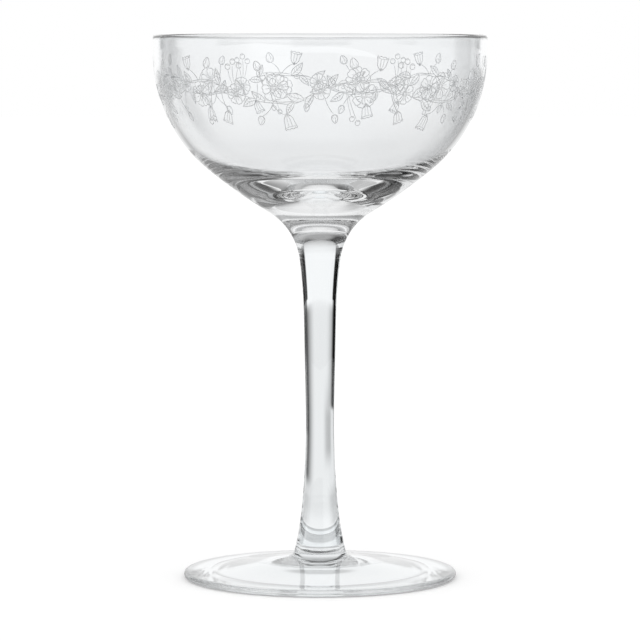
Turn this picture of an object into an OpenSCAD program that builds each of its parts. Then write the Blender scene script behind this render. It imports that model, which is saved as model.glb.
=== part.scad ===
// Coupe glass in clear glass: a shallow round bowl on a drawn stem and a spread foot.
// Sizes in millimetres. The foot rests on z = 0 and the axis of the glass is the Z axis.
// The bowl, the stem and the foot are made apart and joined hot at two flat, level faces.
// Each outline is a chain of arcs, every one tangent to the next, turned round the axis.

/* [Overall] */

// Height from the table to the rim
height = 155; // [132:1:188]

// Outside diameter of the rim
rim_d = 95; // [78:1:116]

// Diameter of the foot
foot_d = 78; // [72:1:96]

/* [Bowl] */

// Depth inside, from the rim to the lowest point
bowl_depth = 44; // [36:0.5:48]

// Glass below the lowest point inside, down to the joint with the stem
floor_t = 14; // [11:0.5:18]

// Wall thickness at the rim and round the side
wall = 1.4; // [1:0.1:2.4]

// Radius of the wall under the rim, which is upright at the rim itself
lip_r = 130; // [90:5:200]

// How far below the rim the centre lies that the round side turns about
side_drop = 5.2; // [2:0.1:9]

// How far the round side, if it went on, would pass below the lowest point inside
side_sink = 2.3; // [0.5:0.1:3.5]

// Radius of the heel inside, where the side turns in to the floor and the glass thickens
heel_r = 28; // [20:0.5:34]

// Radius of the floor inside, which is level on the axis
floor_r = 73; // [62:1:90]

// Radius of the swell between the round side and the neck
swell_r = 140; // [90:5:250]

// Radius of the sweep from the bowl into the stem
neck_r = 18.5; // [15:0.5:23]

// Slope of the sweep at the joint with the stem, in degrees from upright
joint_slope = 26; // [18:1:34]

/* [Stem] */

// Diameter of the stem where it is thinnest
waist_d = 8.1; // [6:0.1:11]

// Slope of the straight taper above the waist, in degrees from upright
taper_slope = 1.2; // [0.6:0.1:2]

// Radius of the flare between the taper and the sweep of the bowl
flare_r = 144; // [100:2:180]

// Slope where the flare meets the sweep of the bowl, in degrees from upright
flare_slope = 7.5; // [5:0.5:10]

// Radius of the long curve round the waist
calf_r = 252; // [180:2:300]

// Slope where that curve ends below the waist, in degrees from upright
calf_slope = 5.5; // [4:0.5:7]

// Radius of the last curve of the stem, above the foot
ankle_r = 91; // [70:1:110]

// Slope of the stem at its joint with the foot, in degrees from upright
ankle_slope = 13.5; // [11:0.5:17]

/* [Foot] */

// Height of the joint between the foot and the stem
foot_rise = 7.6; // [6.4:0.1:9]

// Thickness of the rounded edge of the foot
foot_edge = 2; // [1.6:0.1:2.8]

// Radius of the fillet between the foot and the stem
fillet_r = 2.6; // [1.2:0.1:3.4]

// Radius of the upper face of the foot, between the fillet and the edge
dish_r = 240; // [160:10:400]

// Inside diameter of the flat ring that rests on the table
rest_d = 62; // [50:1:66]

// Depth of the hollow under the middle of the foot
hollow_h = 4.7; // [2:0.1:5.2]

/* [Hidden] */

$fn = 256;

// A size rounded to a thousandth of a millimetre
function snap(x) = round(x * 1000) / 1000;

// The point on the circle of radius r round c that lies towards p
function towards(c, p, r) = c + r * (p - c) / norm(p - c);

// The point at distance ra from a and rb from b, on the left of the line from a to b
function meet(a, ra, b, rb) =
    let (d = norm(b - a))
    let (x = (d * d + ra * ra - rb * rb) / (2 * d))
    let (y = sqrt(ra * ra - x * x))
    let (u = (b - a) / d)
    a + x * u + y * [-u.y, u.x];

// Bowl: the middle of the rounded rim, and the arc of the wall under it
rim_c = [rim_d / 2 - wall / 2, height - wall / 2];
lip_c = [rim_d / 2 - lip_r, rim_c.y];

// Bowl: the round side, as deep as the bowl, whose inner and outer faces share one centre
side_in_r = bowl_depth - side_drop + side_sink;
side_out_r = side_in_r + wall;
lip_slope = asin((side_drop - wall / 2) / (lip_r - side_out_r));
lip_down = [cos(lip_slope), -sin(lip_slope)];
side_c = lip_c + (lip_r - side_out_r) * lip_down;

// Bowl: inside, the heel runs from the round side into the floor
floor_z = height - bowl_depth;
floor_c = [0, floor_z + floor_r];
heel_c = meet(floor_c, floor_r - heel_r, side_c, side_in_r - heel_r);
heel_top = towards(side_c, heel_c, side_in_r);
floor_end = towards(floor_c, heel_c, floor_r);

// Stem: heights where one stretch runs into the next
joint_z = snap(floor_z - floor_t);
ankle_z = foot_rise + ankle_r * (sin(ankle_slope) - sin(calf_slope));
calf_z = snap(ankle_z + calf_r * (sin(calf_slope) + sin(taper_slope)));
flare_z = joint_z - neck_r * (sin(joint_slope) - sin(flare_slope));
taper_z = snap(flare_z - flare_r * (sin(flare_slope) - sin(taper_slope)));

// Stem: both ends of the straight taper
calf_x = snap(waist_d / 2 + calf_r * (1 - cos(taper_slope)));
taper_x = snap(calf_x + (taper_z - calf_z) * tan(taper_slope));

// Stem: centres of its arcs, all of them outside the glass
calf_c = [calf_x, calf_z] + calf_r * [cos(taper_slope), -sin(taper_slope)];
ankle_c = calf_c - (calf_r - ankle_r) * [cos(calf_slope), sin(calf_slope)];
flare_c = [taper_x, taper_z] + flare_r * [cos(taper_slope), -sin(taper_slope)];

// The sweep of the neck runs across the joint, so the bowl and the stem share it
neck_c = flare_c - (flare_r - neck_r) * [cos(flare_slope), -sin(flare_slope)];
swell_c = meet(neck_c, swell_r + neck_r, side_c, swell_r - side_out_r);
swell_low = towards(swell_c, neck_c, swell_r);
swell_high = towards(swell_c, side_c, swell_r);

// Foot: the upper face is an arc that a fillet joins to the stem and that runs into the round edge
foot_joint_r = ankle_c.x - ankle_r * cos(ankle_slope);
fillet_c = [foot_joint_r, foot_rise] + fillet_r * [cos(ankle_slope), sin(ankle_slope)];
edge_c = [foot_d / 2 - foot_edge / 2, foot_edge / 2];
dish_c = meet(fillet_c, dish_r - fillet_r, edge_c, dish_r + foot_edge / 2);
dish_in = snap(towards(dish_c, fillet_c, dish_r).x);
dish_out = snap(towards(edge_c, dish_c, foot_edge / 2).x);
hollow_r = snap((rest_d * rest_d / 4 + hollow_h * hollow_h) / (2 * hollow_h));

// Moves to a point, first by its rounded value and then by the small rest
module at(p) {
    rounded = [snap(p.x), snap(p.y)];
    translate(rounded)
        translate(p - rounded)
            children();
}

// Region from the axis to the far side of a circle, between two heights
module within(c, r, z0, z1) {
    intersection() {
        at(c)
            circle(r);
        translate([0, snap(z0)])
            square([snap(c.x + r), snap(z1) - snap(z0)]);
    }
    if (c.x > 0)
        translate([0, snap(z0)])
            square([snap(c.x), snap(z1) - snap(z0)]);
}

// Region from the axis to the near side of a circle that lies outside, between two heights
module short_of(c, r, z0, z1) {
    difference() {
        translate([0, snap(z0)])
            square([snap(c.x), snap(z1) - snap(z0)]);
        at(c)
            circle(r);
    }
}

// Everything inside the outer outline of the bowl, up to the middle of the rounded rim
module bowl_outside() {
    side_end = side_c + side_out_r * lip_down;
    short_of(neck_c, neck_r, joint_z, swell_low.y);
    within(swell_c, swell_r, swell_low.y, swell_high.y);
    within(side_c, side_out_r, swell_high.y, side_end.y);
    within(lip_c, lip_r, side_end.y, rim_c.y);
}

// The hollow of the bowl, up to the middle of the rounded rim
module bowl_inside() {
    side_end = side_c + side_in_r * lip_down;
    within(floor_c, floor_r, floor_z - 1, floor_end.y);
    within(heel_c, heel_r, floor_end.y, heel_top.y);
    within(side_c, side_in_r, heel_top.y, side_end.y);
    within(lip_c, lip_r - wall, side_end.y, rim_c.y);
}

// Upper half of the rounded rim
module rim_bead() {
    intersection() {
        at(rim_c)
            circle(wall / 2);
        translate([rim_c.x - wall, rim_c.y])
            square([2 * wall, wall]);
    }
}

module bowl() {
    color([0.78, 0.89, 0.94])
        rotate_extrude() {
            difference() {
                bowl_outside();
                bowl_inside();
            }
            rim_bead();
        }
}

module stem() {
    color([0.84, 0.92, 0.95])
        rotate_extrude() {
            short_of(ankle_c, ankle_r, foot_rise, ankle_z);
            short_of(calf_c, calf_r, ankle_z, calf_z);
            polygon([[0, calf_z], [calf_x, calf_z], [taper_x, taper_z], [0, taper_z]]);
            short_of(flare_c, flare_r, taper_z, flare_z);
            short_of(neck_c, neck_r, flare_z, joint_z);
        }
}

// Half section of the foot before it is hollowed from below
module foot_outline() {
    difference() {
        square([dish_in, foot_rise]);
        at(fillet_c)
            circle(fillet_r);
    }
    difference() {
        translate([dish_in, edge_c.y])
            square([dish_out - dish_in, foot_rise - edge_c.y]);
        at(dish_c)
            circle(dish_r);
    }
    translate([dish_in, 0])
        square([edge_c.x - dish_in, edge_c.y]);
    intersection() {
        at(edge_c)
            circle(foot_edge / 2);
        translate([edge_c.x, 0])
            square(foot_edge);
    }
}

module foot() {
    color([0.74, 0.86, 0.92])
        rotate_extrude()
            difference() {
                foot_outline();
                translate([0, hollow_h - hollow_r])
                    circle(hollow_r);
            }
}

bowl();
stem();
foot();
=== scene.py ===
import logging
import math
import random
from dataclasses import dataclass, field
from enum import Enum

import bpy
import numpy as np
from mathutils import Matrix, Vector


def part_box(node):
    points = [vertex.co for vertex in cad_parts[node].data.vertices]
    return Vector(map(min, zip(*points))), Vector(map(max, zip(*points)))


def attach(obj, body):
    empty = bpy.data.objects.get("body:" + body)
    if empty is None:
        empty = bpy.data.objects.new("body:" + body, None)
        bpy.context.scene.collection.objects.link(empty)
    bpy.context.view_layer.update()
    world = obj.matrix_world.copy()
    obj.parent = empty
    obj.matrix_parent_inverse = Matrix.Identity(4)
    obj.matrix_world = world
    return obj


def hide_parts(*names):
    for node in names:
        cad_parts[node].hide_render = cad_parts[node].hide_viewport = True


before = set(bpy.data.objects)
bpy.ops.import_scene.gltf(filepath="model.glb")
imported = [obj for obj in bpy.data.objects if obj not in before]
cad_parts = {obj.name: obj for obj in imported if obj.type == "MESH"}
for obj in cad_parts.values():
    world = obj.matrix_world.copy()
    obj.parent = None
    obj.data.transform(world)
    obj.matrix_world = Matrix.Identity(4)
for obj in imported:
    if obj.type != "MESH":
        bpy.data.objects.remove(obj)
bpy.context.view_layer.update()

LOG = logging.getLogger("coupe_glass")
MM = 0.001
BODY = "root"
PRINCIPLED = "ShaderNodeBsdfPrincipled"

Point = tuple[float, float]
Colour = tuple[float, float, float]


# Shader maths


class Sock:
    """One output socket of a shader tree, with arithmetic that adds Math nodes."""

    def __init__(self, tree: "Tree", socket: bpy.types.NodeSocket) -> None:
        """Wraps a socket of that tree."""
        self.tree = tree
        self.socket = socket

    def _math(self, operation: str, first: "Sock | float", second: "Sock | float") -> "Sock":
        """Adds one Math node for two values and gives its result."""
        return self.tree.out("ShaderNodeMath", 0, {"operation": operation}, {0: first, 1: second})

    def __add__(self, other: "Sock | float") -> "Sock":
        """self + other"""
        return self._math("ADD", self, other)

    def __radd__(self, other: float) -> "Sock":
        """other + self"""
        return self._math("ADD", other, self)

    def __sub__(self, other: "Sock | float") -> "Sock":
        """self - other"""
        return self._math("SUBTRACT", self, other)

    def __rsub__(self, other: float) -> "Sock":
        """other - self"""
        return self._math("SUBTRACT", other, self)

    def __mul__(self, other: "Sock | float") -> "Sock":
        """self * other"""
        return self._math("MULTIPLY", self, other)

    def __rmul__(self, other: float) -> "Sock":
        """other * self"""
        return self._math("MULTIPLY", other, self)

    def __truediv__(self, other: "Sock | float") -> "Sock":
        """self / other"""
        return self._math("DIVIDE", self, other)

    def __rtruediv__(self, other: float) -> "Sock":
        """other / self"""
        return self._math("DIVIDE", other, self)

    def __pow__(self, other: "Sock | float") -> "Sock":
        """self ** other"""
        return self._math("POWER", self, other)

    def __rpow__(self, other: float) -> "Sock":
        """other ** self"""
        return self._math("POWER", other, self)

    def most(self, other: "Sock | float") -> "Sock":
        """The larger of the two values."""
        return self._math("MAXIMUM", self, other)

    def arc_cosine(self) -> "Sock":
        """The angle whose cosine is self, in radians."""
        return self._math("ARCCOSINE", self, 0.0)

    def step(self, low: float, high: float) -> "Sock":
        """A smooth step, which is 0 up to the low value and 1 from the high value on."""
        return self.tree.out(
            "ShaderNodeMapRange",
            "Result",
            {"interpolation_type": "SMOOTHSTEP", "clamp": True},
            {"Value": self, "From Min": low, "From Max": high, "To Min": 0.0, "To Max": 1.0},
        )


class Tree:
    """A shader node tree that is written as expressions."""

    def __init__(self, owner: bpy.types.Material | bpy.types.World) -> None:
        """Empties a tree and adds its output.

        Args:
            owner: the material or world that the tree belongs to.
        """
        owner.use_nodes = True
        self.nodes = owner.node_tree.nodes
        self.links = owner.node_tree.links
        self.nodes.clear()
        kind = "World" if isinstance(owner, bpy.types.World) else "Material"
        self.output = self.node(f"ShaderNodeOutput{kind}")

    def node(
        self, kind: str, settings: dict | None = None, inputs: dict | None = None
    ) -> bpy.types.Node:
        """Adds a node.

        Args:
            kind: the node's type.
            settings: its own properties, which are set first.
            inputs: values or links for its sockets, by name or number.

        Returns:
            The new node.
        """
        made = self.nodes.new(kind)
        for name, value in (settings or {}).items():
            setattr(made, name, value)
        for name, value in (inputs or {}).items():
            if isinstance(value, Sock):
                self.links.new(value.socket, made.inputs[name])
            else:
                made.inputs[name].default_value = value
        return made

    def out(
        self, kind: str, name: str | int, settings: dict | None = None, inputs: dict | None = None
    ) -> Sock:
        """Adds a node, as node() does, and returns one of its outputs."""
        return Sock(self, self.node(kind, settings, inputs).outputs[name])

    def parts(self, vector: Sock) -> tuple[Sock, ...]:
        """The x, y and z of a vector."""
        split = self.node("ShaderNodeSeparateXYZ", None, {0: vector})
        return tuple(Sock(self, output) for output in split.outputs)

    def vector(self, x: Sock, y: Sock, z: Sock) -> Sock:
        """A vector from its three numbers."""
        return self.out("ShaderNodeCombineXYZ", 0, None, {0: x, 1: y, 2: z})

    def mix(self, factor: Sock, first: "Sock | Colour", second: "Sock | Colour") -> Sock:
        """A colour between two others: the first where factor is 0, the second where it is 1."""
        a, b = (c if isinstance(c, Sock) else (*c, 1.0) for c in (first, second))
        return self.out("ShaderNodeMix", 2, {"data_type": "RGBA"}, {0: factor, 6: a, 7: b})

    def tone(self, value: Sock) -> Sock:
        """A grey whose brightness changes from place to place."""
        return self.mix(value, grey(0.0), grey(1.0))

    def surface(self, shader: Sock) -> None:
        """Makes a shader the tree's surface."""
        self.links.new(shader.socket, self.output.inputs["Surface"])


def new_material(name: str) -> tuple[bpy.types.Material, Tree]:
    """A new material and its tree, which is still empty."""
    made = bpy.data.materials.new(name)
    return made, Tree(made)


def grey(value: float) -> Colour:
    """A grey of one brightness."""
    return (value, value, value)


def between(first: "Sock | float", second: "Sock | float", share: Sock) -> Sock:
    """A value between two others: the first where share is 0, the second where it is 1."""
    return first + (second - first) * share


def away(x: Sock, y: Sock) -> Sock:
    """How far a place lies from the axis."""
    return (x * x + y * y) ** 0.5


def plain_ray(tree: Tree) -> Sock:
    """1 for a ray that the camera or a matt surface sends out, 0 for one that glass sends on."""
    path = tree.node("ShaderNodeLightPath").outputs
    return Sock(tree, path["Is Camera Ray"]).most(Sock(tree, path["Is Diffuse Ray"]))


# Finishes


class Ripple(Enum):
    """How the glass was worked, which shows as faint waves.

    The numbers are waves to a metre: level and upright, or for spun glass outwards and across.
    """

    BLOWN = (30.0, 75.0)
    DRAWN = (260.0, 9.0)
    SPUN = (170.0, 8.0)


@dataclass(frozen=True)
class GlassFinish:
    """Clear polished glass with the faint ripple of how it was worked.

    Attributes:
        name: the material's name.
        ripple: how the glass was worked.
        depth: height of the ripple, in millimetres.
        tint: the colour that the glass gives to what is seen through it.
        cooler: the same where the glass is a little more tinted.
        streak: heights of the ripple between which the tint changes.
        haze: heights of the ripple between which the polish fades.
        rough: the roughness where it has faded.
        ior: the glass's index of refraction.
    """

    name: str
    ripple: Ripple
    depth: float
    tint: Colour = (0.965, 0.987, 0.997)
    cooler: Colour = (0.955, 0.98, 0.993)
    streak: Point = (0.3, 0.7)
    haze: Point = (0.55, 0.85)
    rough: float = 0.006
    ior: float = 1.5

    def _ripple(self, tree: Tree) -> Sock:
        """Adds the ripple, which depends on the place on the object.

        Args:
            tree: the material's tree.

        Returns:
            The ripple's height, about 0 to 1.
        """
        first, second = self.ripple.value
        x, y, z = tree.parts(tree.out("ShaderNodeTexCoord", "Object"))
        if self.ripple is Ripple.SPUN:
            waves = tree.vector(away(x, y) * first, x * second, y * second)
        else:
            waves = tree.vector(x * first, y * first, z * second)
        noise = {"Vector": waves, "Scale": 1.0, "Detail": 1.0}
        return tree.out("ShaderNodeTexNoise", 0, None, noise)

    def make(self) -> bpy.types.Material:
        """Makes the material.

        Returns:
            The material.
        """
        made, tree = new_material(self.name)
        height = self._ripple(tree)
        bump = {"Strength": 1.0, "Distance": self.depth * MM, "Height": height}
        look = {
            "Base Color": tree.mix(height.step(*self.streak), self.tint, self.cooler),
            "Roughness": height.step(*self.haze) * self.rough,
            "IOR": self.ior,
            "Transmission Weight": 1.0,
            "Normal": tree.out("ShaderNodeBump", "Normal", None, bump),
        }
        tree.surface(tree.out(PRINCIPLED, 0, None, look))
        return made


@dataclass(frozen=True)
class SeamFinish:
    """The hot join between two pieces, inside the glass, which can't be seen."""

    name: str = "hot_join"

    def make(self) -> bpy.types.Material:
        """Makes the material.

        Returns:
            The material.
        """
        made, tree = new_material(self.name)
        tree.surface(tree.out("ShaderNodeBsdfTransparent", 0))
        return made


@dataclass(frozen=True)
class FrostFinish:
    """Frosted line that a wheel has cut into the glass, which scatters light from both sides.

    Attributes:
        name: the material's name.
        light: colour where the cut is fine.
        dark: colour where the cut is coarse.
        through: share of the light that comes through from behind.
        grains: how many grains the cut shows to a metre.
        coarse: values of the grain between which the colour changes.
        rough: the roughness between the grains and on them.
        gloss: how strongly the cut mirrors.
    """

    name: str = "frosted_line"
    light: Colour = (0.93, 0.935, 0.94)
    dark: Colour = (0.8, 0.805, 0.81)
    through: float = 0.7
    grains: float = 420.0
    coarse: Point = (0.35, 0.7)
    rough: Point = (0.6, 0.85)
    gloss: float = 0.3

    def make(self) -> bpy.types.Material:
        """Makes the material.

        Returns:
            The material.
        """
        made, tree = new_material(self.name)
        place = tree.out("ShaderNodeTexCoord", "Object")
        noise = {"Vector": place, "Scale": self.grains, "Detail": 2.0}
        grain = tree.out("ShaderNodeTexNoise", 0, None, noise)
        look = {
            "Base Color": tree.mix(grain.step(*self.coarse), self.light, self.dark),
            "Roughness": between(*self.rough, grain),
            "Specular IOR Level": self.gloss,
        }
        front = tree.out(PRINCIPLED, 0, None, look)
        behind = tree.out("ShaderNodeBsdfTranslucent", 0, None, {"Color": (*self.light, 1.0)})
        both = {0: self.through, 1: front, 2: behind}
        tree.surface(tree.out("ShaderNodeMixShader", 0, None, both))
        return made


@dataclass(frozen=True)
class Card:
    """A dark card in the studio, or a painted reflection, shade or shadow on the table, which only
    glass shows.

    Angles are in degrees, from straight behind the glass round to the right. Distances on the table
    are in metres from the glass's axis. In the room, a distance is the cosine of a height above
    level.

    Attributes:
        middle: the direction of the card's middle.
        half: half the card's width.
        soft: width of the soft edge on either side.
        dark: the card's brightness.
        near: at which distances the card begins and is full; 0 if it begins at the axis.
        until: at which distances it begins to end and has ended; 0 if it goes on.
    """

    middle: float
    half: float
    soft: float
    dark: float = 0.0
    near: Point = (0.0, 0.0)
    until: Point = (0.0, 0.0)

    def shade(self, x: Sock, y: Sock) -> Sock:
        """The light that the card leaves in a direction.

        Args:
            x: how far the direction goes to the right.
            y: how far it goes to the back.

        Returns:
            1 away from the card, and the card's brightness on it.
        """
        far = away(x, y)
        turn = math.radians(self.middle)
        cosine = (x * math.sin(turn) + y * math.cos(turn)) / far
        off = cosine.arc_cosine() * math.degrees(1.0)
        cover = 1.0 - off.step(self.half, self.half + self.soft)
        if self.near[1] > 0.0:
            cover = cover * far.step(*self.near)
        if self.until[1] > 0.0:
            cover = cover * (1.0 - far.step(*self.until))
        return 1.0 - (1.0 - self.dark) * cover


def shade_of(cards: tuple[Card, ...], x: Sock, y: Sock) -> Sock:
    """The light that several cards leave in a direction, as Card.shade() gives it for one."""
    return math.prod(card.shade(x, y) for card in cards)


@dataclass(frozen=True)
class TableFinish:
    """Plain white table that keeps the object's shadow, with painted reflections, shade and shadows
    that only the glass shows.

    Attributes:
        name: the material's name.
        cards: painted reflections and shade of the room's cards, and a greyer stretch all round as
            painted shade.
        shadows: the shadows on the table round the foot and under it.
        white: the table's own colour.
        rough: its roughness.
        glow: light that it gives by itself, so that its lit part is white.
        close: brightness that the glass shows of the table close by, a little darker as painted
            shade.
        far: the same of the table far away.
        reach: where that brightness begins to change and has changed, in metres from the axis.
    """

    name: str = "white_table"
    # Painted reflections and painted shade of the room's cards, then a greyer stretch of painted
    # shade all round
    cards: tuple[Card, ...] = (
        Card(-54.0, 8.0, 14.0, 0.0, (0.515, 0.64)),
        Card(-46.0, 1.0, 32.0, 0.5, (0.515, 0.64), (1.0, 3.0)),
        Card(-72.0, 3.7, 9.3, 0.3, (0.14, 0.28), (0.5, 0.8)),
        Card(-26.0, 4.0, 16.0, 0.6, (0.15, 0.25), (0.4, 0.8)),
        Card(44.0, 1.0, 32.0, 0.12, (0.1, 0.145), (1.0, 3.0)),
        Card(75.5, 32.7, 6.4, 0.2, (0.26, 0.35)),
        Card(0.0, 180.0, 1.0, 0.885, (0.045, 0.08), (1.0, 3.5)),
    )
    # Painted shadows round the foot and under it
    shadows: tuple[Card, ...] = (
        Card(-50.0, 16.0, 18.0, 0.75, (0.04, 0.05), (0.09, 0.13)),
        Card(50.0, 16.0, 18.0, 0.75, (0.04, 0.05), (0.09, 0.13)),
        Card(-130.0, 25.0, 20.0, 0.35, (0.029, 0.0315), (0.036, 0.04)),
        Card(130.0, 25.0, 20.0, 0.35, (0.029, 0.0315), (0.036, 0.04)),
        Card(0.0, 180.0, 1.0, 0.5, (0.035, 0.0375), (0.041, 0.044)),
        Card(0.0, 180.0, 1.0, 0.6, until=(0.007, 0.012)),
    )
    white: float = 0.84
    rough: float = 0.9
    glow: float = 0.24
    close: float = 0.97
    far: float = 1.0
    reach: Point = (0.5, 3.5)

    def make(self) -> bpy.types.Material:
        """Makes the material.

        Returns:
            The material.
        """
        made, tree = new_material(self.name)
        x, y, _ = tree.parts(tree.out("ShaderNodeTexCoord", "Object"))
        # What the glass alone sees of the table: painted shade close by, painted reflections, shade
        # and shadows
        shown = between(self.close, self.far, away(x, y).step(*self.reach))
        shown = shown * shade_of(self.cards + self.shadows, x, y)
        plain = plain_ray(tree)
        look = {
            "Base Color": tree.mix(plain, grey(0.0), grey(self.white)),
            "Roughness": self.rough,
            "Specular IOR Level": 0.0,
            "Emission Color": tree.mix(plain, tree.tone(shown), grey(self.glow)),
            "Emission Strength": 1.0,
        }
        tree.surface(tree.out(PRINCIPLED, 0, None, look))
        made.cycles.emission_sampling = "NONE"
        return made


@dataclass(frozen=True)
class RoomFinish:
    """White room, whose dark cards and dim ceiling only the glass shows.

    Attributes:
        name: the world's name.
        cards: the cards that stand round the table.
        front: brightness of the ceiling before the glass.
        back: brightness of the ceiling behind it.
        lean: how far the ceiling's light lies to the right, as a share of how far it lies back.
        turn: between which values of that place the ceiling goes over from front to back.
        top: brightness of the ceiling straight above.
        crown: how high, as the sine of the angle, the top begins and has fully begun.
        rise: the same for the ceiling above the walls.
    """

    name: str = "white_room"
    cards: tuple[Card, ...] = (
        Card(-49.5, 11.5, 5.0),
        Card(-80.0, 22.0, 10.0, until=(0.94, 0.97)),
        Card(58.5, 20.5, 5.0),
        Card(90.0, 20.0, 27.0),
        Card(-153.0, 43.0, 8.0),
    )
    front: float = 0.0
    back: float = 0.5
    lean: float = 0.59
    turn: Point = (-0.3, 0.6)
    top: float = 0.34
    crown: Point = (0.85, 0.98)
    rise: Point = (0.125, 0.77)

    def make(self) -> bpy.types.World:
        """Makes the world.

        Returns:
            The world.
        """
        made = bpy.data.worlds.new(self.name)
        tree = Tree(made)
        x, y, z = tree.parts(tree.out("ShaderNodeTexCoord", "Generated"))
        ceiling = between(self.front, self.back, (y + self.lean * x).step(*self.turn))
        ceiling = between(ceiling, self.top, z.step(*self.crown))
        shown = between(shade_of(self.cards, x, y), ceiling, z.step(*self.rise))
        light = tree.mix(plain_ray(tree), tree.tone(shown), grey(1.0))
        tree.surface(tree.out("ShaderNodeBackground", 0, None, {"Color": light, "Strength": 1.0}))
        made.cycles.sampling_method = "NONE"
        return made


# Outlines

# Largest turn between two points of an arc, in degrees: on a long arc, a fillet or a round edge
ARC_STEP = 1.5
FILLET_STEP = 4.0
EDGE_STEP = 6.0
# Longest stretch between two points of an arc, and how far apart two equal heights may be, in mm
ARC_STRETCH = 0.8
SAME_HEIGHT = 1e-6


def unit(angle: float) -> np.ndarray:
    """The direction at an angle in degrees from level."""
    return np.array([math.cos(math.radians(angle)), math.sin(math.radians(angle))])


def towards(centre: np.ndarray, point: np.ndarray, radius: float) -> np.ndarray:
    """The point on a circle round centre that lies towards another point."""
    way = point - centre
    return centre + radius * way / np.linalg.norm(way)


def meet(a: np.ndarray, ra: float, b: np.ndarray, rb: float) -> np.ndarray:
    """The point where two circles meet.

    Args:
        a: the first circle's centre.
        ra: its radius.
        b: the second circle's centre.
        rb: its radius.

    Returns:
        The point that lies on the left of the line from a to b.
    """
    d = float(np.linalg.norm(b - a))
    x = (d * d + ra * ra - rb * rb) / (2 * d)
    y = math.sqrt(ra * ra - x * x)
    u = (b - a) / d
    return a + x * u + y * np.array([-u[1], u[0]])


def climb(radius: float, lean: float, straight: float) -> float:
    """Height that an arc gains between two slopes, which are in degrees from upright."""
    return radius * (math.sin(math.radians(lean)) - math.sin(math.radians(straight)))


@dataclass
class Outline:
    """Half section of a turned piece, from the axis round its outside and back to the axis.

    Attributes:
        points: distance from the axis and height of each point, in millimetres.
        corners: numbers of the points where the outline has an edge.
    """

    points: list[Point] = field(default_factory=list)
    corners: list[int] = field(default_factory=list)

    def to(self, point: "np.ndarray | Point", corner: bool = False) -> "Outline":
        """Goes straight to a point.

        Args:
            point: where to go.
            corner: whether the outline has an edge there.

        Returns:
            The outline itself.
        """
        self.points.append((float(point[0]), float(point[1])))
        if corner:
            self.corners.append(len(self.points) - 1)
        return self

    def run(self, point: "np.ndarray | Point", pieces: int, corner: bool = False) -> "Outline":
        """Goes straight to a point in equal pieces.

        Args:
            point: where to go.
            pieces: how many pieces there are.
            corner: whether the outline has an edge there.

        Returns:
            The outline itself.
        """
        start, end = np.array(self.points[-1]), np.array(point, dtype=float)
        for i in range(1, pieces + 1):
            self.to(start + (end - start) * i / pieces, corner and i == pieces)
        return self

    def arc(
        self,
        centre: np.ndarray,
        end: "np.ndarray | Point",
        corner: bool = False,
        step: float = ARC_STEP,
    ) -> "Outline":
        """Goes round a centre to a point, the short way.

        Args:
            centre: the arc's centre.
            end: where the arc ends.
            corner: whether the outline has an edge there.
            step: the largest turn between two points, in degrees.

        Returns:
            The outline itself.
        """
        first = np.array(self.points[-1]) - centre
        last = np.array(end, dtype=float) - centre
        a0, a1 = math.atan2(first[1], first[0]), math.atan2(last[1], last[0])
        turn = (a1 - a0 + math.pi) % (2 * math.pi) - math.pi
        radius = float(np.linalg.norm(first))
        by_turn = math.ceil(abs(math.degrees(turn)) / step)
        count = max(2, by_turn, math.ceil(radius * abs(turn) / ARC_STRETCH))
        for i in range(1, count):
            angle = a0 + turn * i / count
            self.to(centre + radius * np.array([math.cos(angle), math.sin(angle)]))
        return self.to(last + centre, corner)


def added(name: str, data: bpy.types.ID) -> bpy.types.Object:
    """Adds an object to the scene.

    Args:
        name: the object's name.
        data: its mesh or camera.

    Returns:
        The new object.
    """
    made = bpy.data.objects.new(name, data)
    bpy.context.scene.collection.objects.link(made)
    return made


def turned(
    name: str, outline: Outline, turns: int, joins: tuple[float, ...]
) -> bpy.types.Object:
    """Turns an outline round the axis into a closed mesh.

    Args:
        name: the piece's name.
        outline: the half section, whose first and last points lie on the axis.
        turns: how many steps go round the axis.
        joins: heights of the level faces that join another piece.

    Returns:
        The new object, whose joins use its second material.
    """
    section = np.array(outline.points[1:-1]) * MM
    rows = len(section)
    angle = np.arange(turns) * 2 * math.pi / turns
    body = np.empty((rows, turns, 3))
    body[:, :, 0] = section[:, 0:1] * np.cos(angle)
    body[:, :, 1] = section[:, 0:1] * np.sin(angle)
    body[:, :, 2] = section[:, 1:2]
    ends = [(0.0, 0.0, outline.points[i][1] * MM) for i in (0, -1)]
    verts = np.concatenate([body.reshape(-1, 3), np.array(ends)])

    j = np.arange(turns)
    k = (j + 1) % turns
    first_end, top = rows * turns, (rows - 1) * turns
    faces: list[tuple[int, ...]] = [(first_end, int(b), int(a)) for a, b in zip(j, k)]
    for a in range(0, top, turns):
        b = a + turns
        faces.extend(zip(*(side.tolist() for side in (a + j, a + k, b + k, b + j))))
    faces.extend((first_end + 1, int(top + a), int(top + b)) for a, b in zip(j, k))
    mesh = bpy.data.meshes.new(name)
    mesh.from_pydata(verts.tolist(), [], faces)
    mesh.shade_smooth()

    heights = np.array([point[1] for point in outline.points])
    level = np.abs(np.diff(heights)) < SAME_HEIGHT
    at_join = (np.abs(heights[:-1, None] - np.array(joins)) < SAME_HEIGHT).any(axis=1)
    slots = np.repeat((level & at_join).astype(np.int32), turns)
    mesh.polygons.foreach_set("material_index", slots)

    pairs = np.empty(len(mesh.edges) * 2, dtype=np.int32)
    mesh.edges.foreach_get("vertices", pairs)
    pairs = pairs.reshape(-1, 2)
    row = pairs // turns
    edged = np.isin(row[:, 0], [corner - 1 for corner in outline.corners])
    edged &= (row[:, 0] == row[:, 1]) & (pairs.max(axis=1) < first_end)
    sharp = mesh.attributes.new("sharp_edge", "BOOLEAN", "EDGE")
    sharp.data.foreach_set("value", edged)
    mesh.update()
    return added(name, mesh)


# Pieces of the glass


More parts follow.
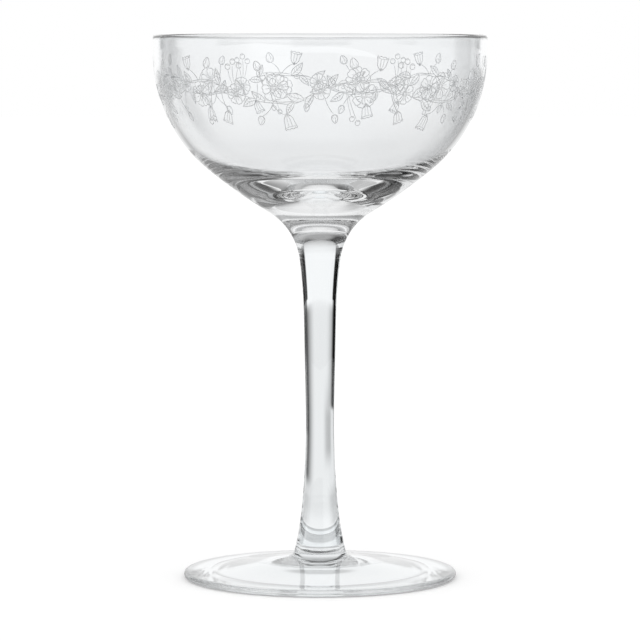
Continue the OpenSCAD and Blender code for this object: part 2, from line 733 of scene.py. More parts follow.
@dataclass
class TurnedPiece:
    """A piece of glass that is round about the axis.

    Attributes:
        node: the CAD node that the piece stands for.
        finish: the piece's glass.
        turns: how many steps go round the axis.
        join_rings: how many rings of faces fill a join.
    """

    node: str
    finish: GlassFinish
    turns: int = 360
    join_rings: int = 6

    def outline(self) -> Outline:
        """The piece's half section."""
        raise NotImplementedError

    def joins(self) -> tuple[float, ...]:
        """Heights of the faces that join another piece, in millimetres."""
        raise NotImplementedError

    def build(self) -> bpy.types.Object:
        """Makes the piece's mesh in place of its CAD node.

        Returns:
            The piece's object.
        """
        piece = turned(f"glass_{self.node}", self.outline(), self.turns, self.joins())
        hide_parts(self.node)
        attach(piece, BODY)
        return piece

    def dress(self, piece: bpy.types.Object, seam: bpy.types.Material) -> None:
        """Gives the piece its glass, and the faces that join another piece their seam."""
        piece.data.materials.append(self.finish.make())
        piece.data.materials.append(seam)


@dataclass
class Stem(TurnedPiece):
    """Drawn stem, waisted in its lower half, that flares into the bowl and into the foot.

    Sizes are in millimetres, and slopes in degrees from upright.

    Attributes:
        bottom: height of the join with the foot.
        top: height of the join with the bowl.
        waist_d: diameter where the stem is thinnest.
        taper_slope: slope of the straight taper above the waist.
        taper_rings: how many rings of faces the taper has.
        flare_r: radius of the flare between the taper and the neck.
        flare_slope: slope where the flare meets the neck.
        neck_r: radius of the neck, which the bowl goes on with.
        joint_slope: slope of the neck at the join with the bowl.
        calf_r: radius of the long curve round the waist.
        calf_slope: slope where that curve ends below the waist.
        ankle_r: radius of the last curve above the foot.
        ankle_slope: slope at the join with the foot.
    """

    node: str = "stem"
    finish: GlassFinish = GlassFinish("drawn_glass", Ripple.DRAWN, 0.002)
    bottom: float = 7.6
    top: float = 97.0
    waist_d: float = 8.1
    taper_slope: float = 1.2
    taper_rings: int = 24
    flare_r: float = 144.0
    flare_slope: float = 7.5
    neck_r: float = 18.5
    joint_slope: float = 26.0
    calf_r: float = 252.0
    calf_slope: float = 5.5
    ankle_r: float = 91.0
    ankle_slope: float = 13.5

    @property
    def calf_top(self) -> np.ndarray:
        """Lower end of the straight taper."""
        z = self.bottom + climb(self.ankle_r, self.ankle_slope, self.calf_slope)
        z += climb(self.calf_r, self.calf_slope, -self.taper_slope)
        return np.array([self.waist_d / 2 + self.calf_r * (1 - unit(self.taper_slope)[0]), z])

    @property
    def taper_top(self) -> np.ndarray:
        """Upper end of the straight taper."""
        z = self.top - climb(self.neck_r, self.joint_slope, self.flare_slope)
        z -= climb(self.flare_r, self.flare_slope, self.taper_slope)
        x, low = self.calf_top
        return np.array([x + (z - low) * math.tan(math.radians(self.taper_slope)), z])

    @property
    def calf_c(self) -> np.ndarray:
        """Centre of the long curve round the waist."""
        return self.calf_top + self.calf_r * unit(-self.taper_slope)

    @property
    def ankle_c(self) -> np.ndarray:
        """Centre of the last curve above the foot."""
        return self.calf_c - (self.calf_r - self.ankle_r) * unit(self.calf_slope)

    @property
    def flare_c(self) -> np.ndarray:
        """Centre of the flare."""
        return self.taper_top + self.flare_r * unit(-self.taper_slope)

    @property
    def neck_c(self) -> np.ndarray:
        """Centre of the neck."""
        return self.flare_c - (self.flare_r - self.neck_r) * unit(-self.flare_slope)

    @property
    def bowl_joint(self) -> np.ndarray:
        """Outer edge of the join with the bowl."""
        drop = self.top - self.neck_c[1]
        return np.array([self.neck_c[0] - math.sqrt(self.neck_r**2 - drop**2), self.top])

    @property
    def foot_joint(self) -> np.ndarray:
        """Outer edge of the join with the foot."""
        drop = self.ankle_c[1] - self.bottom
        return np.array([self.ankle_c[0] - math.sqrt(self.ankle_r**2 - drop**2), self.bottom])

    def joins(self) -> tuple[float, ...]:
        """Heights of both ends."""
        return (self.bottom, self.top)

    def outline(self) -> Outline:
        """Draws the stem from the foot up.

        Returns:
            The half section.
        """
        line = Outline().to((0.0, self.bottom))
        line.run(self.foot_joint, self.join_rings, corner=True)
        line.arc(self.ankle_c, self.calf_c - self.calf_r * unit(self.calf_slope))
        line.arc(self.calf_c, self.calf_top).run(self.taper_top, self.taper_rings)
        line.arc(self.flare_c, self.flare_c - self.flare_r * unit(-self.flare_slope))
        line.arc(self.neck_c, self.bowl_joint, corner=True)
        return line.run((0.0, self.top), self.join_rings)


@dataclass
class Bowl(TurnedPiece):
    """Blown bowl with a thin wall, a rounded rim and a base that thickens towards the stem.

    Sizes are in millimetres.

    Attributes:
        stem: the stem that carries it.
        height: height of the rim above the table.
        rim_d: outside diameter of the rim.
        depth: depth inside.
        wall: thickness of the wall.
        lip_r: radius of the wall under the rim.
        side_drop: how far below the rim the centre of the round side lies.
        side_sink: how far the round side, if it went on, would pass below the lowest point inside.
        heel_r: radius of the heel inside, between side and floor.
        floor_r: radius of the floor inside.
        swell_r: radius of the swell between side and neck.
    """

    node: str = "bowl"
    finish: GlassFinish = GlassFinish(
        "blown_glass", Ripple.BLOWN, 0.004, (0.986, 0.993, 0.998), (0.978, 0.988, 0.995)
    )
    stem: Stem = field(default_factory=Stem)
    height: float = 155.0
    rim_d: float = 95.0
    depth: float = 44.0
    wall: float = 1.4
    lip_r: float = 130.0
    side_drop: float = 5.2
    side_sink: float = 2.3
    heel_r: float = 28.0
    floor_r: float = 73.0
    swell_r: float = 140.0

    @property
    def rim_c(self) -> np.ndarray:
        """Middle of the rounded rim."""
        return np.array([self.rim_d / 2 - self.wall / 2, self.height - self.wall / 2])

    @property
    def lip_c(self) -> np.ndarray:
        """Centre of the wall under the rim."""
        return np.array([self.rim_d / 2 - self.lip_r, self.rim_c[1]])

    @property
    def floor_z(self) -> float:
        """Height of the lowest point inside."""
        return self.height - self.depth

    @property
    def side_in_r(self) -> float:
        """Radius of the round side, inside."""
        return self.depth - self.side_drop + self.side_sink

    @property
    def side_out_r(self) -> float:
        """Radius of the round side, outside."""
        return self.side_in_r + self.wall

    @property
    def lip_way(self) -> np.ndarray:
        """Direction from the centres of wall and side to the place where the two meet."""
        drop = self.side_drop - self.wall / 2
        return unit(-math.degrees(math.asin(drop / (self.lip_r - self.side_out_r))))

    @property
    def side_c(self) -> np.ndarray:
        """Centre of the round side."""
        return self.lip_c + (self.lip_r - self.side_out_r) * self.lip_way

    @property
    def floor_c(self) -> np.ndarray:
        """Centre of the floor inside."""
        return np.array([0.0, self.floor_z + self.floor_r])

    @property
    def heel_c(self) -> np.ndarray:
        """Centre of the heel inside."""
        reach = self.side_in_r - self.heel_r
        return meet(self.floor_c, self.floor_r - self.heel_r, self.side_c, reach)

    @property
    def swell_c(self) -> np.ndarray:
        """Centre of the swell between side and neck."""
        reach = self.swell_r + self.stem.neck_r
        return meet(self.stem.neck_c, reach, self.side_c, self.swell_r - self.side_out_r)

    def joins(self) -> tuple[float, ...]:
        """Height of the join with the stem."""
        return (self.stem.top,)

    def outline(self) -> Outline:
        """Draws the bowl from the join up the outside, over the rim and down inside.

        Returns:
            The half section.
        """
        rim, half, neck = self.rim_c, self.wall / 2, self.stem.neck_c
        line = Outline().to((0.0, self.stem.top))
        line.run(self.stem.bowl_joint, self.join_rings, corner=True)
        line.arc(neck, towards(self.swell_c, neck, self.swell_r))
        line.arc(self.swell_c, towards(self.swell_c, self.side_c, self.swell_r))
        line.arc(self.side_c, self.side_c + self.side_out_r * self.lip_way)
        line.arc(self.lip_c, (rim[0] + half, rim[1]))
        line.arc(rim, (rim[0], rim[1] + half), step=EDGE_STEP)
        line.arc(rim, (rim[0] - half, rim[1]), step=EDGE_STEP)
        line.arc(self.lip_c, self.side_c + self.side_in_r * self.lip_way)
        line.arc(self.side_c, towards(self.side_c, self.heel_c, self.side_in_r))
        line.arc(self.heel_c, towards(self.floor_c, self.heel_c, self.floor_r))
        return line.arc(self.floor_c, (0.0, self.floor_z))

    def outside(self, z: np.ndarray) -> np.ndarray:
        """Measures the outside of the wall and the round side.

        Args:
            z: the heights to measure at.

        Returns:
            The radius at each height.
        """
        turn_z = self.side_c[1] + self.side_out_r * self.lip_way[1]
        below = np.minimum(z - self.side_c[1], 0.0)
        lip = self.lip_c[0] + np.sqrt(self.lip_r**2 - (z - self.lip_c[1]) ** 2)
        side = self.side_c[0] + np.sqrt(self.side_out_r**2 - below**2)
        return np.where(z > turn_z, lip, side)


@dataclass
class Foot(TurnedPiece):
    """Spread foot with a rounded edge, hollowed from below inside a flat ring.

    Sizes are in millimetres.

    Attributes:
        stem: the stem that it carries.
        across: the foot's diameter.
        edge: thickness of the rounded edge.
        fillet_r: radius of the fillet to the stem.
        dish_r: radius of the upper face.
        rest_d: inside diameter of the flat ring on the table.
        rest_rings: how many rings of faces the flat ring has.
        hollow_h: depth of the hollow.
    """

    node: str = "foot"
    finish: GlassFinish = GlassFinish("spun_glass", Ripple.SPUN, 0.004)
    stem: Stem = field(default_factory=Stem)
    across: float = 78.0
    edge: float = 2.0
    fillet_r: float = 2.6
    dish_r: float = 240.0
    rest_d: float = 62.0
    rest_rings: int = 5
    hollow_h: float = 4.7

    def joins(self) -> tuple[float, ...]:
        """Height of the join with the stem."""
        return (self.stem.bottom,)

    def outline(self) -> Outline:
        """Draws the foot from the hollow out to the edge and up to the stem.

        Returns:
            The half section.
        """
        half = self.edge / 2
        edge_c = np.array([self.across / 2 - half, half])
        fillet_c = self.stem.foot_joint + self.fillet_r * unit(self.stem.ankle_slope)
        dish_c = meet(fillet_c, self.dish_r - self.fillet_r, edge_c, self.dish_r + half)
        hollow_r = (self.rest_d**2 / 4 + self.hollow_h**2) / (2 * self.hollow_h)
        hollow_c = np.array([0.0, self.hollow_h - hollow_r])
        line = Outline().to((0.0, self.hollow_h))
        line.arc(hollow_c, (self.rest_d / 2, 0.0), corner=True)
        line.run((edge_c[0], 0.0), self.rest_rings)
        line.arc(edge_c, (edge_c[0] + half, half), step=EDGE_STEP)
        line.arc(edge_c, towards(edge_c, dish_c, half), step=EDGE_STEP)
        line.arc(dish_c, towards(dish_c, fillet_c, self.dish_r))
        line.arc(fillet_c, self.stem.foot_joint, corner=True, step=FILLET_STEP)
        return line.run((0.0, self.stem.bottom), self.join_rings)


# Engraved garland

# Shortest rise and shortest step that count as more than nothing, in millimetres
LEAST_RISE = 1e-12
LEAST_STEP = 1e-9


def xy(x: "np.ndarray | float", y: "np.ndarray | float") -> np.ndarray:
    """Points from their two numbers, one of which may be the same for all."""
    return np.stack(np.broadcast_arrays(x, y), axis=1)


def placed(points: np.ndarray, at: "np.ndarray | Point", turn: float = 0.0) -> np.ndarray:
    """Points drawn about the origin, turned anticlockwise by degrees and moved."""
    c, s = unit(turn)
    return points @ np.array([[c, s], [-s, c]]) + np.array(at, dtype=float)


def ring(radius: float, count: int = 25) -> np.ndarray:
    """A closed circle about the origin."""
    t = np.linspace(0.0, 2 * math.pi, count)
    return xy(np.cos(t), np.sin(t)) * radius


def inside(points: np.ndarray, outline: np.ndarray) -> np.ndarray:
    """Finds the points that lie inside a closed outline.

    Args:
        points: the points.
        outline: the outline's own points.

    Returns:
        Whether each point lies inside.
    """
    x, y = points[:, 0:1], points[:, 1:2]
    x0, y0 = outline[:, 0], outline[:, 1]
    x1, y1 = np.roll(x0, -1), np.roll(y0, -1)
    crossed = (y0 > y) != (y1 > y)
    rise = np.where(np.abs(y1 - y0) < LEAST_RISE, LEAST_RISE, y1 - y0)
    return (np.sum(crossed & (x < x0 + (y - y0) * (x1 - x0) / rise), axis=1) % 2).astype(bool)


@dataclass
class Sketch:
    """Line drawing on the unrolled bowl, where what is drawn first hides what comes later.

    Attributes:
        around: length of the whole band, in millimetres.
        bins: into how many stretches the band is divided, to find what lies near.
        lines: each line's points and width, in millimetres.
        covers: outlines of what is drawn already.
        near: numbers of the outlines in each stretch.
    """

    around: float
    bins: int = 48
    lines: list[tuple[np.ndarray, float]] = field(default_factory=list)
    covers: list[np.ndarray] = field(default_factory=list)
    near: dict[int, list[int]] = field(default_factory=dict)

    def stretches(self, points: np.ndarray) -> set[int]:
        """Finds the stretches of the band that some points lie in.

        Args:
            points: the points.

        Returns:
            The stretches' numbers.
        """
        place = points[:, 0] * self.bins / self.around
        first, last = math.floor(place.min()), math.floor(place.max())
        return {k % self.bins for k in range(first, last + 1)}

    def over(self, points: np.ndarray, width: float) -> None:
        """Draws a line in front of everything."""
        self.lines.append((points, width))

    def line(self, points: np.ndarray, width: float) -> None:
        """Draws what can be seen of a line.

        Args:
            points: the line's points.
            width: the line's width.
        """
        shown = np.ones(len(points), dtype=bool)
        for number in sorted({i for k in self.stretches(points) for i in self.near.get(k, [])}):
            cover = self.covers[number]
            middle = cover.mean(axis=0)
            off = (points[:, 0] - middle[0] + self.around / 2) % self.around - self.around / 2
            beside = xy(off + middle[0], points[:, 1])
            close = np.abs(beside - middle).max(axis=1) < np.abs(cover - middle).max()
            if close.any():
                shown[close] &= ~inside(beside[close], cover)
        cuts = np.flatnonzero(np.diff(np.concatenate([[0], shown.astype(int), [0]])))
        for start, end in zip(cuts[0::2], cuts[1::2]):
            if end - start > 2:
                self.over(points[start:end], width)

    def shape(self, outline: np.ndarray, width: float) -> None:
        """Draws a closed outline, which then hides what comes later.

        Args:
            outline: the outline's points, the last the same as the first.
            width: the line's width.
        """
        self.line(outline, width)
        for k in self.stretches(outline):
            self.near.setdefault(k, []).append(len(self.covers))
        self.covers.append(outline[:-1])


@dataclass(frozen=True)
class Repeat:
    """One repeat of the garland's pattern.

    Attributes:
        start: where it starts, in millimetres round the bowl.
        length: its length, in millimetres.
        flip: 1, or -1 where its sprigs lean the other way.
    """

    start: float
    length: float
    flip: float

    def at(self, share: float, lean: float = 0.0, shift: float = 0.0) -> float:
        """A place: a share of the length, and millimetres as its sprigs lean and to the right."""
        return self.start + share * self.length + shift + lean * self.flip

    def leaning(self, same: float, lean: float) -> float:
        """A number that is partly the same in every repeat and partly leans as its sprigs do."""
        return same + lean * self.flip


# Where the vine is highest, level and lowest, as shares of a repeat
CREST, HALF, DIP = 0.25, 0.5, 0.75


class Tip(Enum):
    """What a sprig ends in."""

    BELL = "bellflower"
    BUD = "bud"
    BERRY = "berry"


@dataclass(frozen=True)
class Sprig:
    """A stalk of the garland and what it ends in. Sizes are in millimetres, angles in degrees.

    Attributes:
        tip: what it ends in.
        size: the length of that, or a berry's radius.
        place: where the tip is, as Repeat.at() takes it.
        height: how high the tip is.
        root: where the stalk leaves the vine, as Repeat.at() takes it.
        bow: how far the stalk bows, as Repeat.leaning() takes it.
        turn: the way that the tip points, as Repeat.leaning() takes it.
        loose: how far the tip's height may differ.
    """

    tip: Tip
    size: float
    place: tuple[float, ...]
    height: float
    root: tuple[float, ...]
    bow: Point
    turn: Point = (0.0, 0.0)
    loose: float = 0.0


SPRIGS = (
    Sprig(Tip.BELL, 3.9, (DIP, -2.6), 133.6, (DIP, 1.5), (0.0, 0.8), (0.0, -14.0), 0.4),
    Sprig(Tip.BELL, 3.2, (HALF, 1.0, -2.4), 134.6, (HALF, 0.0, -4.5), (-0.6, 0.0), (0.0, 20.0)),
    Sprig(Tip.BELL, 3.4, (CREST, 4.4), 146.0, (CREST, 0.5), (0.0, 0.5), (180.0, -12.0), 0.3),
    Sprig(Tip.BUD, 3.0, (CREST, -2.6), 146.4, (CREST, 0.2), (0.0, -0.5), (90.0, 16.0)),
    Sprig(Tip.BUD, 2.7, (DIP, 4.6), 145.9, (DIP, 1.0), (0.7, 0.0), (90.0, -24.0)),
    Sprig(Tip.BUD, 2.6, (DIP, 4.8), 133.3, (DIP, 1.0), (0.6, 0.0), (-90.0, 22.0)),
    Sprig(Tip.BUD, 2.4, (0.0, 0.0, 4.0), 133.8, (0.0, 0.0, 1.0), (-0.7, 0.0), (-78.0, 0.0)),
    Sprig(Tip.BERRY, 0.78, (HALF, -1.6), 147.2, (HALF, 0.0, 0.4), (0.4, 0.0)),
    Sprig(Tip.BERRY, 0.78, (HALF, 0.3), 148.2, (HALF, 0.0, 0.4), (0.4, 0.0)),
    Sprig(Tip.BERRY, 0.78, (HALF, 1.9), 146.8, (HALF, 0.0, 0.4), (0.4, 0.0)),
    Sprig(Tip.BERRY, 0.72, (CREST, -2.8), 132.6, (CREST, -5.0), (-0.5, 0.0)),
    Sprig(Tip.BERRY, 0.72, (CREST, -1.0), 131.5, (CREST, -5.0), (-0.5, 0.0)),
)

# Each daisy's petal length, share of the repeat and height, and how far the last two may differ
DAISIES = (
    (3.7, CREST, 139.0, 0.6, 0.3),
    (3.9, DIP, 141.2, 0.6, 0.3),
    (2.9, HALF, 139.4, 0.5, 0.0),
    (2.6, 0.0, 140.4, 0.5, 0.0),
)

# Share of the repeat at which each leaf grows, and each tendril with its size, turn and hand
LEAVES = (0.05, 0.13, 0.18, 0.34, 0.4, 0.45, 0.56, 0.63, 0.68, 0.85, 0.91, 0.96)
TENDRILS = ((0.1, 1.9, 62.0, -1.0), (0.6, 1.9, -50.0, 1.0), (0.88, 1.7, 70.0, 1.0))


@dataclass
class Garland:
    """Engraved band of a waved vine with daisies, bellflowers, buds, leaves and berries.

    Sizes are in millimetres, and angles in degrees.

    Attributes:
        bowl: the bowl that carries it.
        repeats: how often the pattern comes round the bowl.
        middle: height of the vine's middle.
        wave: how far the vine goes up and down.
        waver: how far a smaller wave adds to that.
        vine_half: half the vine's thickness.
        vine_points: how many points the vine has.
        petals: how many petals a daisy has.
        seeds: how many seeds its heart shows.
        leaf_lean: least and most turn of a leaf away from the vine.
        leaf_length: least and most length of a leaf.
        stalk_step: how far apart the points of a stalk lie.
        line: width of a drawn line.
        fine: width of a fine line.
        pointed: width of a line's end and its growth from point to point, as shares of its width.
        lift: gap between the bowl and the lines.
        depth: thickness of the frosted lines.
        radius: radius at which the drawing is unrolled.
        dice_start: the number that the random draws start from.
        finish: the lines' finish.
    """

    bowl: Bowl
    repeats: int = 6
    middle: float = 140.0
    wave: float = 3.1
    waver: float = 0.35
    vine_half: float = 0.27
    vine_points: int = 1101
    petals: int = 8
    seeds: int = 7
    leaf_lean: Point = (28.0, 58.0)
    leaf_length: Point = (3.9, 5.6)
    stalk_step: float = 0.35
    line: float = 0.22
    fine: float = 0.16
    pointed: Point = (0.55, 0.22)
    lift: float = 0.01
    depth: float = 0.03
    radius: float = 46.0
    dice_start: int = 5
    finish: FrostFinish = FrostFinish()

    def __post_init__(self) -> None:
        """Starts the drawing."""
        self.sketch = Sketch(2 * math.pi * self.radius)
        self.dice = random.Random(self.dice_start)

    @property
    def pitch(self) -> float:
        """Length of one repeat."""
        return self.sketch.around / self.repeats

    def about(self, value: float, loose: float) -> float:
        """A value that may differ by that much; nothing is drawn by lot where it may not."""
        return value + self.dice.uniform(-loose, loose) if loose else value

    def vine(self, u: "np.ndarray | float") -> "np.ndarray | float":
        """Height of the vine at a place round the bowl."""
        t = 2 * math.pi * np.asarray(u) / self.pitch
        return self.middle + self.wave * np.sin(t) + self.waver * np.sin(3 * t + 0.8)

    def on_vine(self, u: float) -> Point:
        """The vine's point at a place round the bowl."""
        return u, float(self.vine(u))

    def daisy(self, at: Point, radius: float, turn: float) -> None:
        """Draws an open flower.

        Args:
            at: the flower's middle.
            radius: the length of its petals.
            turn: the turn of its first petal.
        """
        heart = 0.25 * radius
        for k in range(self.seeds):
            middle = 0.15 * radius * unit(k * 360 / self.seeds + turn)
            self.sketch.line(placed(placed(ring(0.05 * radius, 9), middle), at), self.fine)
        self.sketch.shape(placed(ring(heart), at), self.fine)
        t = np.linspace(0.0, 2 * math.pi, 37)
        foot, notch = 0.8 * heart, 0.07 * radius * np.exp(-(((t - math.pi) / 0.3) ** 2))
        across = 0.36 * radius * np.sin(t) * (0.84 - 0.3 * np.cos(t))
        for k in (*range(0, self.petals, 2), *range(1, self.petals, 2)):
            length = radius * self.dice.uniform(0.92, 1.06)
            along = foot + (length - foot) * (0.5 - 0.5 * np.cos(t)) - notch
            way = turn + k * 360 / self.petals + self.dice.uniform(-4, 4)
            self.sketch.shape(placed(xy(along, across), at, way), self.line)
        vein = xy(np.linspace(0.34, 0.66, 6) * radius, 0.0)
        for k in range(self.petals):
            self.sketch.over(placed(vein, at, turn + k * 360 / self.petals), self.fine)

    def bell(self, at: Point, length: float, turn: float) -> None:
        """Draws a bellflower from the side.

        Args:
            at: the top of the flower, where its stalk ends.
            length: the flower's length.
            turn: the way that it hangs; 0 is straight down.
        """
        s = np.linspace(0.0, 1.0, 15)
        shoulder = np.sin(np.minimum(s / 0.5, 1.0) * math.pi / 2)
        half = length * (0.1 + 0.27 * shoulder + 0.13 * s**4)
        t = np.linspace(1.0, -1.0, 25)
        mouth = xy(t * half[-1], -length * (1.0 + 0.1 * np.abs(np.sin(1.5 * math.pi * t))))
        right, left = xy(half, -length * s), xy(-half, -length * s)
        outline = np.concatenate([right, mouth[1:-1], left[::-1], right[:1]])
        for side in (-0.33, 0.33):
            fold = xy(side * half * 0.95, -length * s)[3:14]
            self.sketch.line(placed(fold, at, turn), self.fine)
        far_lip = -length * (0.99 - 0.09 * np.sqrt(1.0 - (t * 0.99) ** 2))
        self.sketch.line(placed(xy(t * half[-1] * 0.96, far_lip), at, turn), self.fine)
        self.sketch.shape(placed(outline, at, turn), self.line)
        sepal = xy(0.0, np.linspace(0.1, -0.24, 5) * length)
        for lean in (-48.0, -16.0, 16.0, 48.0):
            self.sketch.over(placed(placed(sepal, (0.0, 0.0), lean), at, turn), self.line)

    def bud(self, at: Point, length: float, turn: float) -> None:
        """Draws a closed bud.

        Args:
            at: the bud's foot, where its stalk ends.
            length: the bud's length.
            turn: the way that it points; 0 is to the right.
        """
        t = np.linspace(0.0, 2 * math.pi, 29)
        along = length * (0.5 - 0.5 * np.cos(t))
        across = 0.36 * length * np.sin(t) * (1.0 + 0.3 * np.cos(t))
        bulge = 0.1 * length * np.sin(np.linspace(0, math.pi, 8))
        fold = xy(np.linspace(0.25, 0.95, 8) * length, bulge)
        self.sketch.line(placed(fold, at, turn), self.fine)
        s = np.linspace(0.0, 1.0, 7)
        for side in (-1.0, 1.0):
            cup = xy(0.45 * length * s, side * 0.24 * length * np.sin(s * math.pi * 0.8))
            self.sketch.line(placed(cup, at, turn), self.fine)
        self.sketch.shape(placed(xy(along, across), at, turn), self.line)

    def berry(self, at: Point, size: float) -> None:
        """Draws a round berry with a shine line.

        Args:
            at: the berry's middle.
            size: its radius.
        """
        t = np.linspace(0.6, 2.2, 7)
        self.sketch.line(placed(0.6 * size * xy(np.cos(t), np.sin(t)), at), self.fine)
        self.sketch.shape(placed(ring(size, 21), at), self.line)

    def leaf(self, at: Point, length: float, turn: float, curl: float) -> None:
        """Draws a pointed leaf with its veins.

        Args:
            at: the leaf's foot.
            length: the leaf's length.
            turn: the way that it points.
            curl: how far its middle bows to one side, as a share of its length.
        """
        s = np.linspace(0.0, 1.0, 19)
        spine = xy(length * s, 4 * curl * length * s * (1 - s))
        half = 0.21 * length * np.sin(math.pi * s**0.8)
        upper, lower = spine + xy(0.0, half), spine - xy(0.0, half)
        self.sketch.line(placed(spine[:-1], at, turn), self.fine)
        for i in (5, 8, 11):
            for side in (-1.0, 1.0):
                tip = spine[i] + np.array([0.13 * length, side * half[i + 2] * 0.8])
                vein = spine[i] + (tip - spine[i]) * np.linspace(0.0, 1.0, 4)[:, None]
                self.sketch.line(placed(vein, at, turn), self.fine)
        outline = np.concatenate([upper, lower[::-1][1:]])
        self.sketch.shape(placed(outline, at, turn), self.line)

    def stalk(self, start: Point, end: Point, bow: float, width: float) -> None:
        """Draws a bowed stalk.

        Args:
            start: where it leaves the vine.
            end: where it ends.
            bow: how far its middle lies to the left of the straight line.
            width: the line's width.
        """
        a, way = np.array(start), np.array(end) - np.array(start)
        length = np.linalg.norm(way)
        s = np.linspace(0.0, 1.0, max(6, int(length / self.stalk_step)))[:, None]
        side = np.array([-way[1], way[0]]) / length
        self.sketch.line(a + way * s + side * bow * 4 * s * (1 - s), width)

    def tendril(self, at: Point, size: float, turn: float, hand: float) -> None:
        """Draws a curled tendril.

        Args:
            at: where it leaves the vine.
            size: the radius of its first turn.
            turn: the way that it leaves.
            hand: 1 to curl to the left, -1 to the right.
        """
        s = np.linspace(0.0, 1.0, 40)
        way = 9.5 * s**1.3
        step = size * 0.16 * (1.0 - 0.72 * s)
        curl = np.cumsum(xy(np.cos(way) * step, hand * np.sin(way) * step), axis=0)
        self.sketch.line(placed(curl, at, turn), self.fine)

    def flowers(self, repeat: Repeat) -> None:
        """Draws the flowers, buds and berries of one repeat.

        Args:
            repeat: the repeat.
        """
        for radius, share, height, aside, above in DAISIES:
            at = self.about(repeat.at(share), aside), self.about(height, above)
            self.daisy(at, radius, self.dice.uniform(0, 45))
        for sprig in SPRIGS:
            at = repeat.at(*sprig.place), self.about(sprig.height, sprig.loose)
            if sprig.tip is Tip.BERRY:
                self.berry(at, sprig.size)
            else:
                draw = self.bell if sprig.tip is Tip.BELL else self.bud
                draw(at, sprig.size, repeat.leaning(*sprig.turn))

    def leaves(self, repeat: Repeat) -> None:
        """Draws the leaves of one repeat, above and below the vine by turns.

        Args:
            repeat: the repeat.
        """
        roll = self.dice.uniform
        for k, share in enumerate(LEAVES):
            foot = repeat.at(share)
            up = -1.0 if k % 2 else 1.0
            rise = float(self.vine(foot + 0.5) - self.vine(foot - 0.5))
            slope = math.degrees(math.atan2(rise, 1.0))
            way = slope + up * roll(*self.leaf_lean)
            length = roll(*self.leaf_length)
            if repeat.flip < 0:
                way = 180 + slope - up * roll(*self.leaf_lean)
            self.leaf(self.on_vine(foot), length, way, 0.06 * up)

    def stalks(self, repeat: Repeat) -> None:
        """Draws the stalks and tendrils of one repeat.

        Args:
            repeat: the repeat.
        """
        for sprig in SPRIGS:
            root = self.on_vine(repeat.at(*sprig.root))
            end = repeat.at(*sprig.place), sprig.height
            width = self.fine if sprig.tip is Tip.BERRY else self.line
            self.stalk(root, end, repeat.leaning(*sprig.bow), width)
        for share, *shape in TENDRILS:
            self.tendril(self.on_vine(repeat.at(share)), *shape)

    def draw(self) -> None:
        """Draws the whole band, from what lies in front to what lies behind."""
        flips = [-1.0 if k % 2 else 1.0 for k in range(self.repeats)]
        repeats = [Repeat(k * self.pitch, self.pitch, flip) for k, flip in enumerate(flips)]
        for step in (self.flowers, self.leaves):
            for repeat in repeats:
                step(repeat)
        u = np.linspace(0.0, self.sketch.around, self.vine_points)
        slope = np.gradient(self.vine(u), u)
        aside = xy(-slope, 1.0) / np.sqrt(1 + slope**2)[:, None]
        swell = (1.0 + 0.3 * np.sin(u * 0.9))[:, None]
        for half in (-self.vine_half, self.vine_half):
            self.sketch.line(xy(u, self.vine(u)) + aside * half * swell, self.line)
        for repeat in repeats:
            self.stalks(repeat)

    def build(self) -> bpy.types.Object:
        """Makes the frosted lines as thin closed ribbons on the bowl's outside.

        Returns:
            The lines' object.
        """
        self.draw()
        verts: list[np.ndarray] = []
        faces: list[tuple[int, ...]] = []
        count = 0
        end, growth = self.pointed
        low, high = self.lift, self.lift + self.depth
        for points, width in self.sketch.lines:
            way = np.gradient(points, axis=0)
            way /= np.maximum(np.linalg.norm(way, axis=1), LEAST_STEP)[:, None]
            across = xy(-way[:, 1], way[:, 0])
            n = len(points)
            from_end = np.minimum(np.arange(n), np.arange(n)[::-1])
            half = width / 2 * np.clip(end + growth * from_end, end, 1.0)[:, None]
            for sign, lift in ((-1, low), (1, low), (1, high), (-1, high)):
                flat = points + sign * half * across
                angle = flat[:, 0] / self.radius - math.pi / 2
                r = self.bowl.outside(flat[:, 1]) + lift
                place = [r * np.cos(angle), r * np.sin(angle), flat[:, 1]]
                verts.append(np.stack(place, axis=1) * MM)
            corner = [count + k * n for k in range(4)]
            for i in range(n - 1):
                for a, b in ((0, 3), (3, 2), (2, 1), (1, 0)):
                    left, right = corner[a] + i, corner[b] + i
                    faces.append((left, left + 1, right + 1, right))
            faces.append(tuple(corner))
            faces.append(tuple(c + n - 1 for c in reversed(corner)))
            count += 4 * n
        mesh = bpy.data.meshes.new("engraved_garland")
        mesh.from_pydata(np.concatenate(verts).tolist(), [], faces)
        mesh.update()
        piece = added("engraved_garland", mesh)
        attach(piece, BODY)
        return piece

    def dress(self, piece: bpy.types.Object) -> None:
        """Gives the lines their frosted finish."""
        piece.data.materials.append(self.finish.make())


# Studio


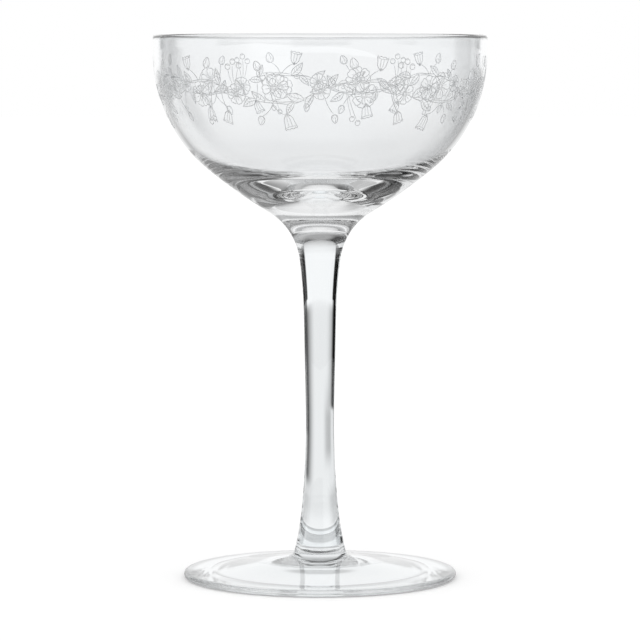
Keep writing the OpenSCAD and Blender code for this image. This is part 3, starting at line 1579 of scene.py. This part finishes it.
@dataclass
class Studio:
    """The table, the room and the camera.

    Attributes:
        table: half the width of the table, in metres.
        gap: how far the table lies below the foot, in metres.
        camera_far: level distance from the glass's axis to the camera, in metres.
        camera_up: height of the camera, in metres.
        tilt: how far the camera looks down, in degrees.
        lens: the camera's focal length, in millimetres.
        sensor: the width of its sensor, in millimetres.
        clip: the nearest and the furthest that it sees, in metres.
        bounces: how often light may turn on its way through the glass.
        joins: how many joins it may pass.
        table_finish: the table's finish.
        room_finish: the room's finish.
    """

    table: float = 4.0
    gap: float = 0.2 * MM
    camera_far: float = 1.088
    camera_up: float = 0.1675
    tilt: float = 4.922
    lens: float = 215.0
    sensor: float = 36.0
    clip: Point = (0.01, 50.0)
    bounces: int = 96
    joins: int = 48
    table_finish: TableFinish = TableFinish()
    room_finish: RoomFinish = RoomFinish()

    def camera(self) -> None:
        """Adds the camera at the photograph's viewing angle."""
        data = bpy.data.cameras.new("camera")
        data.lens = self.lens
        data.sensor_width = self.sensor
        data.clip_start, data.clip_end = self.clip
        seen = added("camera", data)
        seen.location = (0.0, -self.camera_far, self.camera_up)
        seen.rotation_euler = (math.radians(90.0 - self.tilt), 0.0, 0.0)
        bpy.context.scene.camera = seen

    def floor(self) -> None:
        """Adds the table, a hair below the foot."""
        s, z = self.table, -self.gap
        mesh = bpy.data.meshes.new("table")
        mesh.from_pydata([(-s, -s, z), (s, -s, z), (s, s, z), (-s, s, z)], [], [(0, 1, 2, 3)])
        mesh.materials.append(self.table_finish.make())
        added("table", mesh)

    def build(self) -> None:
        """Sets up the studio, with enough bounces for light that runs along inside the glass."""
        self.camera()
        self.floor()
        scene = bpy.context.scene
        scene.world = self.room_finish.make()
        scene.view_settings.view_transform = "Standard"
        for kind in ("max_bounces", "transmission_bounces", "glossy_bounces"):
            setattr(scene.cycles, kind, self.bounces)
        scene.cycles.transparent_max_bounces = self.joins
        scene.cycles.caustics_refractive = True
        scene.cycles.caustics_reflective = True


def main() -> None:
    """Builds the studio and the glass, piece by piece."""
    logging.basicConfig(level=logging.INFO, format="%(name)s: %(message)s")
    Studio().build()
    seam = SeamFinish().make()
    stem = Stem()
    bowl = Bowl(stem=stem)
    for piece in (bowl, stem, Foot(stem=stem)):
        made = piece.build()
        piece.dress(made, seam)
        low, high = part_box(piece.node)
        count = len(made.data.polygons)
        LOG.info("%s: %d faces, CAD box %.4f to %.4f m high", made.name, count, low.z, high.z)
    garland = Garland(bowl)
    lines = garland.build()
    garland.dress(lines)
    count = len(lines.data.polygons)
    LOG.info("%s: %d lines, %d faces", lines.name, len(garland.sketch.lines), count)


if __name__ == "__main__":
    main()
